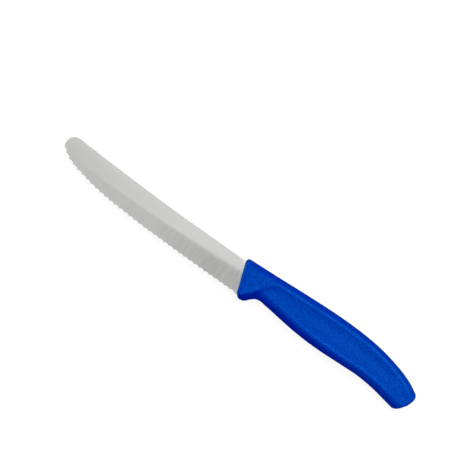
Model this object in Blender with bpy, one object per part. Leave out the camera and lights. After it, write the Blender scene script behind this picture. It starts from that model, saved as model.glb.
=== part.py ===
"""Table knife: a stamped, wavy-edged steel blade with a moulded plastic handle round its tang.

The knife lies on its side. +X runs from the tip to the butt, +Y towards the spine and +Z up.
Pieces are drawn with X = 0 where the handle's front face crosses the middle of the blade, and
with Z = 0 in the middle of the steel. At the end both hang from one empty, which puts the
origin under the middle of the whole knife, on the surface that it lies on.
"""

import math

import bmesh
import bpy
import numpy as np
from mathutils import Matrix, Vector

# Blade, in metres
BLADE_LENGTH = 0.1107
BLADE_THICKNESS = 0.0012
TIP_THICKNESS = 0.0009
SPINE_HEIGHT = 0.00805
EDGE_DEPTH = 0.00825
TIP_RISE = 0.0024
NOSE_RADIUS = 0.0050
SHEET_CHAMFER = 0.00008

# Ground lower half of the blade and its wavy edge
EDGE_THICKNESS = 0.00040
EDGE_LAND = 0.00008
NOSE_RIM_THICKNESS = 0.0007
GRIND_HEIGHT_MIN = 0.006
GRIND_SHARE_MIN = 0.32
WAVE_PITCH = 0.0031
WAVE_DEPTH = 0.0006
WAVE_END_MARGIN = 0.0035
WAVE_START = 0.0014
WAVE_BEVEL_ANGLE = math.radians(13.0)

# Tang, hidden in the handle
TANG_LENGTH = 0.062
TANG_TOP = 0.0068
TANG_BOTTOM = -0.0016
TANG_CORNER_RADIUS = 0.002
HEEL_TOP_INSET = 0.0010
HEEL_TOP_LENGTH = 0.0030
HEEL_BOTTOM_INSET = 0.0029
HEEL_BOTTOM_LENGTH = 0.0052
TANG_HOLE_RADIUS = 0.0020
TANG_HOLE_SPACING = 0.016
TANG_HOLE_COUNT = 3
TANG_HOLE_END_MARGIN = 0.009
STEEPEST_STEP = 2.0

# Handle
HANDLE_LENGTH = 0.1070
HANDLE_THICKNESS = 0.0130
SPINE_HUMP = 0.0045
GRIP_HOLLOW = 0.0039
FRONT_SLANT = math.radians(19.0)
BUTT_SLANT = math.radians(27.0)
FRONT_TURN_LENGTH = 0.014
BUTT_TURN_LENGTH = 0.022
CLEARANCE = 0.0003

# Rounding of the handle's two ends: at its spine, at its belly and along its sides
FRONT_SPINE_RADIUS = 0.0017
FRONT_BELLY_RADIUS = 0.0026
FRONT_SIDE_RADIUS = 0.0012
BUTT_SPINE_RADIUS = 0.0054
BUTT_BELLY_RADIUS = 0.0046
BUTT_SIDE_RADIUS = 0.0013

# Section of the handle: crowned spine, dished side, round belly
CROWN_DEPTH = 0.0028
BELLY_ROUND_HEIGHT = 0.0050
BELLY_POWER = 1.6
RIDGE_BLEND = 0.0008
FRONT_DISH_DEPTH = 0.0018
DISH_DEPTH = 0.0016
DISH_RETURN = 0.0006
FRONT_DISH_WALL = 0.0035
DISH_WALL = 0.0066
DISH_EASE = 0.62
DISH_RETURN_WIDTH = 0.0026
DISH_CORNER_BLEND = 0.0145
CREASE_OFFSET = 0.0088
CREASE_ANGLE = math.radians(88.0)
PILLAR_ROOT = 0.0010

# Curves along the blade: (share of the blade's length from the handle, share of its depth)
EDGE_CURVE = ((0.0, 0.0), (0.2, 0.0), (0.31, 0.006), (0.42, 0.018), (0.52, 0.032), (0.60, 0.060),
              (0.685, 0.095), (0.77, 0.155), (0.85, 0.248), (0.91, 0.346), (0.95, 0.455), (0.982, 0.617),
              (1.0, 0.735))
GRIND_CURVE = ((0.0, 0.71), (0.03, 0.66), (0.066, 0.64), (0.156, 0.595), (0.32, 0.55), (0.56, 0.50),
               (0.83, 0.53), (0.90, 0.57), (0.95, 0.66), (1.0, 0.85))
SPINE_CURVE_START = 0.32
SPINE_CURVE_POWER = 1.65

# Curves along the handle: (share of the handle's length, share of the hump, hollow or round)
HANDLE_SPINE = ((-0.035, 0.42), (0.02, 0.47), (0.12, 0.585), (0.30, 0.83), (0.42, 0.96), (0.527, 1.0),
                (0.63, 0.925), (0.72, 0.72), (0.82, 0.265), (0.89, -0.205), (0.935, -0.62), (1.01, -1.52))
HANDLE_BELLY = ((0.0, -0.295), (0.055, -0.295), (0.072, -0.14), (0.094, 0.48), (0.112, 0.87), (0.133, 1.0),
                (0.165, 0.93), (0.24, 0.675), (0.34, 0.37), (0.43, 0.225), (0.51, 0.225), (0.61, 0.33),
                (0.71, 0.41), (0.80, 0.195), (0.89, -0.24), (0.96, -0.58))
BELLY_ROUND = ((0.0, 0.44), (0.04, 0.54), (0.07, 1.1), (0.105, 1.06), (0.145, 0.98), (0.2, 0.99),
               (0.28, 0.96), (0.37, 0.84), (0.49, 0.80), (0.61, 0.75), (0.75, 0.78), (0.84, 0.78),
               (0.91, 0.78), (1.0, 0.8))

# Shares of the handle's length between which the dish changes
DEEP_DISH_END = (0.14, 0.26)
DISH_RETURN_START = (0.12, 0.20)
DISH_RUN_OUT = (0.80, 0.96)

# Mesh density
COLUMNS_PER_WAVE = 6
NOSE_COLUMNS = 13
FIRST_NOSE_ANGLE = 5
STEP_COLUMNS = 12
TANG_COLUMNS = 6
ROUND_END_COLUMNS = 6
SECTION_STEPS = 24
END_RINGS = 7
FINE_RING_STEP = 0.0011
RING_STEP = 0.0023
FINE_FRONT = 0.2
ROUND_SIDES = 28
SMALLEST_BLEND = 1e-9


def smooth_curve(points, at):
    """Heights of a smooth curve through a few (place, height) points, by cubic Hermite pieces."""
    place, height = np.array(points).T
    slope = np.gradient(height, place)
    at = np.clip(at, place[0], place[-1])
    piece = np.clip(np.searchsorted(place, at) - 1, 0, len(place) - 2)
    span = place[piece + 1] - place[piece]
    t = (at - place[piece]) / span
    start = (1 + 2 * t) * (1 - t) ** 2 * height[piece] + t * (1 - t) ** 2 * span * slope[piece]
    end = t * t * (3 - 2 * t) * height[piece + 1] - t * t * (1 - t) * span * slope[piece + 1]
    return start + end


def ramp(value, low, high):
    """0 below low, 1 above high and an S-shaped ease between them."""
    t = np.clip((value - low) / (high - low), 0.0, 1.0)
    return t * t * (3 - 2 * t)


def soft_min(a, b, blend):
    """The smaller of two values, with the corner between them rounded over the blend width."""
    overlap = np.maximum(blend - np.abs(a - b), 0.0)
    return np.minimum(a, b) - overlap ** 2 / (4 * np.maximum(blend, SMALLEST_BLEND))


def round_inset(distance, radius):
    """How far a quarter-round of this radius draws a side in, at a distance from the end face."""
    reach = np.clip(radius - distance, 0.0, radius)
    return radius - np.sqrt(radius ** 2 - reach ** 2)


def blade_top(x):
    """Height of the spine: straight, then sweeping up, then round the nose; steps in at the tang."""
    share = np.clip((-x / BLADE_LENGTH - SPINE_CURVE_START) / (1 - SPINE_CURVE_START), 0.0, 1.0)
    spine = SPINE_HEIGHT + TIP_RISE * share ** SPINE_CURVE_POWER
    nose = nose_height() + NOSE_RADIUS - round_inset(x + BLADE_LENGTH, NOSE_RADIUS)
    step = ramp(x, HEEL_TOP_INSET, HEEL_TOP_INSET + HEEL_TOP_LENGTH)
    return np.minimum(spine, nose) * (1 - step) + TANG_TOP * step


def nose_height():
    """Height of the centre of the round nose, which touches the end of the spine."""
    share = (1 - NOSE_RADIUS / BLADE_LENGTH - SPINE_CURVE_START) / (1 - SPINE_CURVE_START)
    return SPINE_HEIGHT + TIP_RISE * share ** SPINE_CURVE_POWER - NOSE_RADIUS


def blade_bottom(x):
    """Height of the line through the tooth tips, up round the nose; steps in at the tang."""
    depth = SPINE_HEIGHT + EDGE_DEPTH
    belly = -EDGE_DEPTH + depth * smooth_curve(EDGE_CURVE, -x / BLADE_LENGTH)
    nose = nose_height() - NOSE_RADIUS + round_inset(x + BLADE_LENGTH, NOSE_RADIUS)
    on_nose = x + BLADE_LENGTH < NOSE_RADIUS / 2
    outline = np.where(on_nose, np.maximum(belly, nose), belly)
    step = ramp(x, HEEL_BOTTOM_INSET, HEEL_BOTTOM_INSET + HEEL_BOTTOM_LENGTH)
    return outline * (1 - step) + TANG_BOTTOM * step


def wave_places():
    """The places of the tooth tips, from the tip of the blade to just inside the handle."""
    count = int((BLADE_LENGTH - WAVE_END_MARGIN + WAVE_START) / WAVE_PITCH)
    return WAVE_START - WAVE_PITCH * np.arange(count, -1, -1)


def wave_lift(x):
    """How far each hollow rises above the line of tooth tips: one circular arc for each tooth."""
    tips = wave_places()
    half = WAVE_PITCH / 2
    radius = (half ** 2 + WAVE_DEPTH ** 2) / (2 * WAVE_DEPTH)
    off_centre = np.mod(x - tips[0], WAVE_PITCH) - half
    lift = np.sqrt(radius ** 2 - off_centre ** 2) - (radius - WAVE_DEPTH)
    inside = (x > tips[0]) & (x < tips[-1])
    return np.where(inside, np.maximum(lift, 0.0), 0.0)


def blade_rings(x, waves, grow):
    """One closed section of the sheet at each x: nine corners, as a (sections, 9, 3) array.

    grow moves every face out by that much, which is how the handle's pocket follows the tang.
    """
    tips = wave_places()
    slope_top = np.clip(np.gradient(blade_top(x), x), -STEEPEST_STEP, STEEPEST_STEP)
    slope_bottom = np.clip(np.gradient(blade_bottom(x), x), -STEEPEST_STEP, STEEPEST_STEP)
    end_round = round_inset(TANG_LENGTH + grow - x, TANG_CORNER_RADIUS)
    top = blade_top(x) + grow * np.hypot(1, slope_top) - end_round
    tooth_line = blade_bottom(x) - grow * np.hypot(1, slope_bottom) + end_round
    edge = tooth_line + (wave_lift(x) if waves else 0.0)

    toward_tip = ramp(-x, BLADE_LENGTH / 2, BLADE_LENGTH)
    round_nose = 1 - ramp(x, tips[0] - WAVE_PITCH, tips[0])
    in_heel = ramp(x, HEEL_BOTTOM_INSET, 2 * HEEL_BOTTOM_INSET)
    half = (BLADE_THICKNESS + (TIP_THICKNESS - BLADE_THICKNESS) * toward_tip) / 2
    edge_half = (EDGE_THICKNESS + (NOSE_RIM_THICKNESS - EDGE_THICKNESS) * round_nose) / 2
    edge_half = edge_half + (half - edge_half) * in_heel
    depth = SPINE_HEIGHT + EDGE_DEPTH
    grind = -EDGE_DEPTH + depth * smooth_curve(GRIND_CURVE, -x / BLADE_LENGTH)
    grind = np.maximum(grind, tooth_line + GRIND_SHARE_MIN * (top - tooth_line))
    grind = np.minimum(grind, top - 3 * SHEET_CHAMFER)
    taper = (half - edge_half) / np.maximum(grind - tooth_line, GRIND_HEIGHT_MIN)
    face = half - taper * (grind - edge)

    # The land is the thin flat that sharpening leaves. Where there are no waves it is the whole rim.
    rim = 2 * face - SHEET_CHAMFER
    land = rim + (EDGE_LAND - rim) * (1 - round_nose) * (1 - in_heel)
    run = (2 * face - land) / (math.tan(WAVE_BEVEL_ANGLE) - taper)
    run = np.minimum(run, (grind - edge) / 2)
    bevel_half = face + taper * run

    corners = (
        (top - SHEET_CHAMFER, half + grow),
        (top, half + grow - SHEET_CHAMFER),
        (top, SHEET_CHAMFER - half - grow),
        (top - SHEET_CHAMFER, -half - grow),
        (grind, -half - grow),
        (edge + run, -bevel_half - grow),
        (edge, face - land - grow),
        (edge, face + grow),
        (grind, half + grow),
    )
    return np.array([np.column_stack((x, y, z + 0 * x)) for y, z in corners]).transpose(1, 0, 2)


def blade_columns():
    """Places of the blade's sections: round the nose, over every wave, across the heel, down the tang."""
    turn = np.radians(np.linspace(FIRST_NOSE_ANGLE, 90, NOSE_COLUMNS))
    nose = NOSE_RADIUS * (1 - np.cos(turn)) - BLADE_LENGTH
    tips = wave_places()
    waves = np.linspace(tips[0], tips[-1], (len(tips) - 1) * COLUMNS_PER_WAVE + 1)
    nose = nose[nose < tips[0] - WAVE_PITCH / COLUMNS_PER_WAVE / 2]
    heel = np.linspace(tips[-1], HEEL_BOTTOM_INSET + HEEL_BOTTOM_LENGTH, STEP_COLUMNS)[1:]
    return np.concatenate((nose, waves, heel, tang_columns(heel[-1], TANG_LENGTH)))


def tang_columns(start, end):
    """Places of the sections from the heel to the tang's round end, closer on the round."""
    straight = np.linspace(start, end - TANG_CORNER_RADIUS, TANG_COLUMNS)[1:]
    turn = np.radians(np.linspace(0, 90, ROUND_END_COLUMNS)[1:])
    return np.concatenate((straight, end - TANG_CORNER_RADIUS * (1 - np.sin(turn))))


def pocket_columns():
    """Places of the pocket's sections, from in front of the handle to just past the tang's end."""
    front = np.linspace(-HANDLE_THICKNESS, HEEL_TOP_INSET, ROUND_END_COLUMNS)
    heel = np.linspace(HEEL_TOP_INSET, HEEL_BOTTOM_INSET + HEEL_BOTTOM_LENGTH, STEP_COLUMNS)[1:]
    return np.concatenate((front, heel, tang_columns(heel[-1], TANG_LENGTH + CLEARANCE)))


def handle_spine(x):
    return SPINE_HEIGHT + SPINE_HUMP * smooth_curve(HANDLE_SPINE, x / HANDLE_LENGTH)


def handle_belly(x):
    return -EDGE_DEPTH + GRIP_HOLLOW * smooth_curve(HANDLE_BELLY, x / HANDLE_LENGTH)


def belly_round(x):
    """Height of the round that closes each side on the belly."""
    return BELLY_ROUND_HEIGHT * smooth_curve(BELLY_ROUND, x / HANDLE_LENGTH)


def meet(rail, x, lean):
    """Height where a line that leans by this slope and passes (x, 0) meets the rail."""
    height = rail(x)
    for _ in range(12):
        height = rail(x + lean * height)
    return height


def dish_inside(x, y):
    """Distance in from the dish's rim, at (x, y).

    The rim is the ridge that follows the spine and the crease that closes the flat front panel.
    A soft minimum of the two distances rounds the corner where they meet.
    """
    below_ridge = handle_spine(x) - CROWN_DEPTH - y
    behind_crease = (x - CREASE_OFFSET) * math.sin(CREASE_ANGLE) - y * math.cos(CREASE_ANGLE)
    return soft_min(below_ridge, behind_crease, DISH_CORNER_BLEND)


def dish_depth(x, y):
    """How far the grip's side is pressed in at (x, y).

    The dish is deepest and its wall shortest behind the crease. It falls quickly at its rim and
    then levels out, comes back a little at its lower side and runs out towards the butt.
    """
    share = x / HANDLE_LENGTH
    in_grip = ramp(share, *DEEP_DISH_END)
    depth = FRONT_DISH_DEPTH + (DISH_DEPTH - FRONT_DISH_DEPTH) * in_grip
    wall = FRONT_DISH_WALL + (DISH_WALL - FRONT_DISH_WALL) * in_grip
    low_edge = handle_belly(x) + belly_round(x)
    above_low = np.clip((y - low_edge) / DISH_RETURN_WIDTH, 0.0, 1.0)
    back = DISH_RETURN * ramp(share, *DISH_RETURN_START) * (1 - above_low) ** 2
    run_out = 1 - ramp(share, *DISH_RUN_OUT)
    ease = ramp(np.clip(dish_inside(x, y) / wall, 0.0, 1.0) ** DISH_EASE, 0.0, 1.0)
    return (depth - back) * run_out * ease


def handle_ring(x, lean, distance, radii):
    """One closed section of the handle on a leaning line, drawn in by the rounding of its end.

    The half-section runs from the spine to the belly. Its width is the smaller of the crown's
    arc and the dished side, and the side closes on the belly with a quarter superellipse.
    """
    spine_radius, belly_radius, side_radius = radii
    top = meet(handle_spine, x, lean) - round_inset(distance, spine_radius)
    bottom = meet(handle_belly, x, lean) + round_inset(distance, belly_radius)
    half = HANDLE_THICKNESS / 2
    narrowing = 1 - round_inset(distance, side_radius) / half
    y = bottom + (top - bottom) * (1 + np.cos(np.linspace(0, math.pi, SECTION_STEPS + 1))) / 2
    along = x + lean * y

    from_spine = top - y
    crown_radius = (half ** 2 + CROWN_DEPTH ** 2) / (2 * CROWN_DEPTH)
    crown = np.sqrt(np.maximum(crown_radius ** 2 - (crown_radius - from_spine) ** 2, 0.0))
    crown = np.where(from_spine > crown_radius, crown_radius, crown)
    from_belly = np.clip((y - bottom) / belly_round(along), 0.0, 1.0)
    closing = (1 - (1 - from_belly) ** BELLY_POWER) ** (1 / BELLY_POWER)
    side = (half - dish_depth(along, y)) * closing
    blend = RIDGE_BLEND * ramp(from_spine, 0.0, CROWN_DEPTH / 2)
    width = soft_min(crown, side, blend) * narrowing
    width[0] = width[-1] = 0.0
    upper = np.column_stack((along, y, width))
    lower = np.column_stack((along, y, -width))[-2:0:-1]
    return np.vstack((upper, lower))


def handle_rings():
    """All sections of the handle, from its slanted front face to its slanted butt."""
    front_radii = (FRONT_SPINE_RADIUS, FRONT_BELLY_RADIUS, FRONT_SIDE_RADIUS)
    butt_radii = (BUTT_SPINE_RADIUS, BUTT_BELLY_RADIUS, BUTT_SIDE_RADIUS)
    ease = 1 - np.cos(np.radians(np.linspace(0, 90, END_RINGS)))
    front = max(front_radii) * ease
    butt = HANDLE_LENGTH - max(butt_radii) * ease[::-1]
    fine_end = FINE_FRONT * HANDLE_LENGTH
    fine = np.linspace(front[-1], fine_end, math.ceil((fine_end - front[-1]) / FINE_RING_STEP) + 1)[1:]
    body = np.linspace(fine_end, butt[0], math.ceil((butt[0] - fine_end) / RING_STEP) + 1)[1:-1]
    rings = []
    for x in np.concatenate((front, fine, body, butt)):
        lean = -math.tan(FRONT_SLANT) * (1 - ramp(x, 0.0, FRONT_TURN_LENGTH))
        lean += math.tan(BUTT_SLANT) * ramp(x, HANDLE_LENGTH - BUTT_TURN_LENGTH, HANDLE_LENGTH)
        near_front = x < HANDLE_LENGTH / 2
        distance = x if near_front else HANDLE_LENGTH - x
        rings.append(handle_ring(x, lean, distance, front_radii if near_front else butt_radii))
    return rings


def loft(name, rings):
    """A closed solid through a row of rings: each is bridged to the next and both ends are filled."""
    bm = bmesh.new()
    loops = []
    for ring in rings:
        verts = [bm.verts.new(Vector(point)) for point in ring]
        edges = [bm.edges.new((verts[i - 1], verts[i])) for i in range(len(verts))]
        loops.append((verts, edges))
    for (_, near), (_, far) in zip(loops, loops[1:]):
        bmesh.ops.bridge_loops(bm, edges=near + far)
    bm.faces.new(loops[0][0])
    bm.faces.new(loops[-1][0])
    bmesh.ops.recalc_face_normals(bm, faces=bm.faces)
    return finish_mesh(name, bm)


def finish_mesh(name, bm):
    mesh = bpy.data.meshes.new(name)
    bm.to_mesh(mesh)
    bm.free()
    mesh.shade_smooth()
    mesh.set_sharp_from_angle(angle=math.radians(35))
    obj = bpy.data.objects.new(name, mesh)
    bpy.context.scene.collection.objects.link(obj)
    return obj


def hide_tool(obj):
    """Marks a shape that only cuts or joins another."""
    obj.hide_render = True
    obj.display_type = 'WIRE'


def hole_places():
    """Centres of the tang's holes, counted back from its end, halfway up the tang."""
    middle = (TANG_TOP + TANG_BOTTOM) / 2
    first = TANG_LENGTH - TANG_HOLE_END_MARGIN
    return [(first - TANG_HOLE_SPACING * i, middle, 0.0) for i in range(TANG_HOLE_COUNT)]


def rods(name, radius, length):
    """Upright round rods at the tang's holes."""
    bm = bmesh.new()
    for place in hole_places():
        bmesh.ops.create_cone(bm, cap_ends=True, segments=ROUND_SIDES, radius1=radius, radius2=radius,
                              depth=length, matrix=Matrix.Translation(place))
    obj = finish_mesh(name, bm)
    hide_tool(obj)
    return obj


def combine(obj, tool, operation):
    modifier = obj.modifiers.new(tool.name, 'BOOLEAN')
    modifier.operation = operation
    modifier.solver = 'EXACT'
    modifier.object = tool


def give_material(obj, name, color, roughness, metallic):
    material = bpy.data.materials.new(name)
    material.use_nodes = True
    shader = material.node_tree.nodes["Principled BSDF"]
    shader.inputs["Base Color"].default_value = (*color, 1.0)
    shader.inputs["Roughness"].default_value = roughness
    shader.inputs["Metallic"].default_value = metallic
    obj.data.materials.append(material)


def make_blade():
    """Blade and tang in one sheet, with the tang's holes."""
    blade = loft("blade", blade_rings(blade_columns(), waves=True, grow=0.0))
    combine(blade, rods("tang_hole_cutter", TANG_HOLE_RADIUS, 4 * BLADE_THICKNESS), 'DIFFERENCE')
    give_material(blade, "brushed_steel", (0.58, 0.58, 0.57), 0.32, 1.0)
    return blade


def make_handle():
    """Moulded handle: a pocket follows the tang, and three pillars cross it through the holes."""
    handle = loft("handle", handle_rings())
    pocket = loft("pocket_cutter", blade_rings(pocket_columns(), waves=False, grow=CLEARANCE))
    hide_tool(pocket)
    combine(handle, pocket, 'DIFFERENCE')
    pillar_length = BLADE_THICKNESS + 2 * CLEARANCE + 2 * PILLAR_ROOT
    combine(handle, rods("pillar_shape", TANG_HOLE_RADIUS - CLEARANCE, pillar_length), 'UNION')
    give_material(handle, "blue_polypropylene", (0.001, 0.058, 0.45), 0.48, 0.0)
    return handle


def lay_on_surface(pieces):
    """Hangs the pieces and their tools from an empty that sets the origin under the knife's middle."""
    bpy.context.view_layer.update()
    corners = np.array([obj.matrix_world @ Vector(corner) for obj in pieces for corner in obj.bound_box])
    low, high = corners.min(axis=0), corners.max(axis=0)
    root = bpy.data.objects.new("knife", None)
    bpy.context.scene.collection.objects.link(root)
    for obj in bpy.context.scene.collection.objects:
        if obj is not root:
            obj.parent = root
    root.location = (-(low[0] + high[0]) / 2, -(low[1] + high[1]) / 2, -low[2])


def main():
    for obj in list(bpy.data.objects):
        bpy.data.objects.remove(obj)
    pieces = [make_blade(), make_handle()]
    lay_on_surface(pieces)


main()
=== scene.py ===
# %% [markdown]
# A table knife in two pieces: a thin steel blade with a wavy edge, and a handle of blue plastic that
# is moulded straight round the blade's tang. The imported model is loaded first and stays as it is. It
# says where each piece lies, and both pieces are then made again with finer surfaces and finishes. All
# sizes are in metres.

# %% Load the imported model
import math

import bmesh
import bpy
import numpy as np
from mathutils import Matrix, Vector


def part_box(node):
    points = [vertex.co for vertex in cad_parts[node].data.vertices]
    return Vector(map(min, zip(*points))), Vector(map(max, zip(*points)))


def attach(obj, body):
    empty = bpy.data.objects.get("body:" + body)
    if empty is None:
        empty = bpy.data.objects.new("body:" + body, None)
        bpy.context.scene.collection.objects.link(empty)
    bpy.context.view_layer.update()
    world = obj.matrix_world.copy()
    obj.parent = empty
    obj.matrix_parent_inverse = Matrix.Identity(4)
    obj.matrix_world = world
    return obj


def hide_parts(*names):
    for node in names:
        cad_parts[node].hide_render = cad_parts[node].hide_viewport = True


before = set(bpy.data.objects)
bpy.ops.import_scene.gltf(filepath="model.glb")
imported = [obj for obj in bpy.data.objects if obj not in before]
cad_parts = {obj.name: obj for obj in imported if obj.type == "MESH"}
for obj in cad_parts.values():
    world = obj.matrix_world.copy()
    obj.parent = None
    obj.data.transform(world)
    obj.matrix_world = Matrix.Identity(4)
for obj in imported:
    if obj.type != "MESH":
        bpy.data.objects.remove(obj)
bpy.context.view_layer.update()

# %% [markdown]
# The knife lies flat and is seen from straight above, turned so that the tip points up and to the
# left. A long lens from 1.5 m away keeps the thickness of the handle from spreading its outline, as
# in a product photograph. The camera looks down when it isn't turned at all, so the only turn is the
# one about the vertical.

# %% Camera
def add_object(name, data):
    """A new object with this mesh, lamp or camera, linked into the scene."""
    obj = bpy.data.objects.new(name, data)
    bpy.context.scene.collection.objects.link(obj)
    return obj


CAMERA_TURN = math.radians(35.25)
CAMERA_OVER = (-0.01935, 0.01529)
CAMERA_DISTANCE = 1.5
VIEW_WIDTH = 0.225
MIDDLE_HEIGHT = 0.0065
NEAREST_SEEN = 0.05

camera_data = bpy.data.cameras.new("camera")
camera = add_object("camera", camera_data)
camera_data.lens = camera_data.sensor_width * CAMERA_DISTANCE / VIEW_WIDTH
camera_data.clip_start = NEAREST_SEEN
camera.location = (*CAMERA_OVER, MIDDLE_HEIGHT + CAMERA_DISTANCE)
camera.rotation_euler = (0.0, 0.0, CAMERA_TURN)
bpy.context.scene.camera = camera
bpy.context.scene.view_settings.view_transform = "Standard"
print("lens, in millimetres:", round(camera_data.lens))

# %% [markdown]
# Materials, the floor and the room are all made of shader nodes. The first helper adds one node, sets
# its options and fills its sockets. The others build on it, so that each finish below reads as a list
# of what it is made of. A mix node takes plain numbers at its sockets 2 and 3, and colours at 6 and 7.

# %% Shader nodes
def add_node(tree, kind, inputs=(), **options):
    """Adds a node. inputs maps a socket to a value or to the output socket that feeds it."""
    node = tree.nodes.new(kind)
    for option, value in options.items():
        setattr(node, option, value)
    for socket, value in dict(inputs).items():
        if isinstance(value, bpy.types.NodeSocket):
            tree.links.new(value, node.inputs[socket])
        else:
            node.inputs[socket].default_value = value
    return node


def combine(tree, operation, first, second):
    """Two numbers taken together by one operation, such as ADD or MULTIPLY."""
    return add_node(tree, "ShaderNodeMath", {0: first, 1: second}, operation=operation).outputs[0]


def mix_value(tree, share, low, high):
    """A number that goes from low to high with the share."""
    return add_node(tree, "ShaderNodeMix", {0: share, 2: low, 3: high}).outputs[0]


def mix_color(tree, share, low, high):
    """A colour that goes from low to high with the share."""
    return add_node(tree, "ShaderNodeMix", {0: share, 6: low, 7: high}, data_type="RGBA").outputs[2]


def scaled_range(tree, value, low, high, to_low, to_high, **options):
    """Maps the value from one range to another and holds it there."""
    return add_node(tree, "ShaderNodeMapRange",
                    {"Value": value, "From Min": low, "From Max": high,
                     "To Min": to_low, "To Max": to_high}, **options).outputs[0]


def background_rays(tree):
    """1 for the rays that show the background: from the camera, off gloss and through glass."""
    path = add_node(tree, "ShaderNodeLightPath")
    rays = path.outputs["Is Camera Ray"]
    for other in ("Is Glossy Ray", "Is Transmission Ray"):
        rays = combine(tree, "MAXIMUM", rays, path.outputs[other])
    return rays


print("helpers for shader nodes are ready")

# %% [markdown]
# The knife lies on a plain white sheet. For the rays that show the background, most of its white is a
# glow and only the rest is a matt surface, so the shadow on it stays soft and faint. For light that
# bounces on to the knife the sheet is plain pale grey and matt, with no glow.

# %% Floor
FLOOR_SIZE = 6.0
FLOOR_DROP = 0.00005
FLOOR_COLOR = 0.78
FLOOR_SHOWN = 0.24
FLOOR_GLOW = 0.84

floor_mesh = bpy.data.meshes.new("floor")
floor_mesh.from_pydata([(side * FLOOR_SIZE / 2, end * FLOOR_SIZE / 2, -FLOOR_DROP)
                        for side, end in ((-1, -1), (1, -1), (1, 1), (-1, 1))], [], [(0, 1, 2, 3)])
floor = add_object("floor", floor_mesh)

floor_paint = bpy.data.materials.new("white_sheet")
floor_paint.use_nodes = True
tree = floor_paint.node_tree
tree.nodes.clear()
rays = background_rays(tree)
color = scaled_range(tree, rays, 0.0, 1.0, FLOOR_COLOR, FLOOR_SHOWN)
matt = add_node(tree, "ShaderNodeBsdfDiffuse", {"Color": color})
light = add_node(tree, "ShaderNodeEmission", {"Strength": combine(tree, "MULTIPLY", rays, FLOOR_GLOW)})
both = add_node(tree, "ShaderNodeAddShader", {0: matt.outputs[0], 1: light.outputs[0]})
add_node(tree, "ShaderNodeOutputMaterial", {"Surface": both.outputs[0]})
floor_mesh.materials.append(floor_paint)
print("floor:", FLOOR_SIZE, "m square")

# %% [markdown]
# The light is a plain studio one: a dome that is white overhead and fades to grey towards the horizon,
# a little sooner on the belly's side, and one large soft lamp above and behind the spine. The fade is
# what lets the rounded belly of the handle turn darker. Seen directly or in the steel, the room is
# white all round.

# %% Light
DOME_TILT = math.radians(8.0)
DOME_LOW = 0.20
DOME_HIGH = 0.95
DOME_FADE = (0.30, 0.90)
ROOM_SHOWN = 1.0
LAMP_LEAN = math.radians(26.0)
LAMP_DISTANCE = 1.3
LAMP_SIZE = 0.7
LAMP_POWER = 6.4

world = bpy.data.worlds.new("studio")
bpy.context.scene.world = world
world.use_nodes = True
tree = world.node_tree
tree.nodes.clear()
place = add_node(tree, "ShaderNodeTexCoord")
upward = add_node(tree, "ShaderNodeVectorMath",
                  {0: place.outputs["Generated"], 1: (0.0, math.sin(DOME_TILT), math.cos(DOME_TILT))},
                  operation="DOT_PRODUCT").outputs["Value"]
dome = scaled_range(tree, upward, *DOME_FADE, DOME_LOW, DOME_HIGH, interpolation_type="SMOOTHSTEP")
strength = mix_value(tree, background_rays(tree), dome, ROOM_SHOWN)
room = add_node(tree, "ShaderNodeBackground", {"Color": (1.0, 1.0, 1.0, 1.0), "Strength": strength})
add_node(tree, "ShaderNodeOutputWorld", {"Surface": room.outputs[0]})

lamp_data = bpy.data.lights.new("soft_lamp", "AREA")
lamp_data.shape = "SQUARE"
lamp_data.size = LAMP_SIZE
lamp_data.energy = LAMP_POWER
lamp = add_object("soft_lamp", lamp_data)
lamp.location = (0.0, LAMP_DISTANCE * math.sin(LAMP_LEAN), LAMP_DISTANCE * math.cos(LAMP_LEAN))
lamp.rotation_euler = (-LAMP_LEAN, 0.0, 0.0)
print("lamp, in metres:", [round(value, 2) for value in lamp.location])

# %% [markdown]
# Both pieces are drawn from a few smooth curves. In their drawing frame X = 0 is where the handle's
# front crosses the middle of the blade, Z = 0 is the middle of the steel, +X points to the butt and
# +Y to the spine. Five small functions do most of the shaping, and each works on whole arrays.

# %% Curves
TINY = 1e-9


def smooth_curve(points, at):
    """Cubic Hermite curve through (place, height) points, with slopes from their neighbours."""
    where, height = np.array(points).T
    slope = np.gradient(height, where)
    at = np.clip(at, where[0], where[-1])
    piece = np.clip(np.searchsorted(where, at) - 1, 0, len(where) - 2)
    span = where[piece + 1] - where[piece]
    t = (at - where[piece]) / span
    start = (1 + 2 * t) * (1 - t) ** 2 * height[piece] + t * (1 - t) ** 2 * span * slope[piece]
    end = t * t * (3 - 2 * t) * height[piece + 1] - t * t * (1 - t) * span * slope[piece + 1]
    return start + end


def ramp(value, low, high):
    """S-shaped ease from 0 at low to 1 at high: 3 t squared minus 2 t cubed."""
    t = np.clip((value - low) / (high - low), 0.0, 1.0)
    return t * t * (3 - 2 * t)


def between(low, high, share):
    """The value this share of the way from low to high."""
    return low + (high - low) * share


def soft_min(a, b, blend):
    """The smaller of a and b, less (blend - |a - b|) squared / (4 blend) where they are close."""
    overlap = np.maximum(blend - np.abs(a - b), 0.0)
    return np.minimum(a, b) - overlap ** 2 / (4 * np.maximum(blend, TINY))


def round_inset(distance, radius):
    """Draw-in of a quarter-round: radius - sqrt(radius squared - (radius - distance) squared)."""
    reach = np.clip(radius - distance, 0.0, radius)
    return radius - np.sqrt(radius ** 2 - reach ** 2)


print("S-curve at a quarter:", ramp(0.25, 0.0, 1.0))

# %% [markdown]
# A skin is a grid of points: one closed ring after another along the piece. The helper joins the
# rings with faces of four corners and closes the two ends. Where a ring has shrunk to a point its
# corners are merged, so that the mesh is one closed body with its faces outward.

# %% A closed skin from a grid of points
MERGE_DISTANCE = 1e-7
print("points of a skin are merged when closer than", MERGE_DISTANCE, "m")


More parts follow.
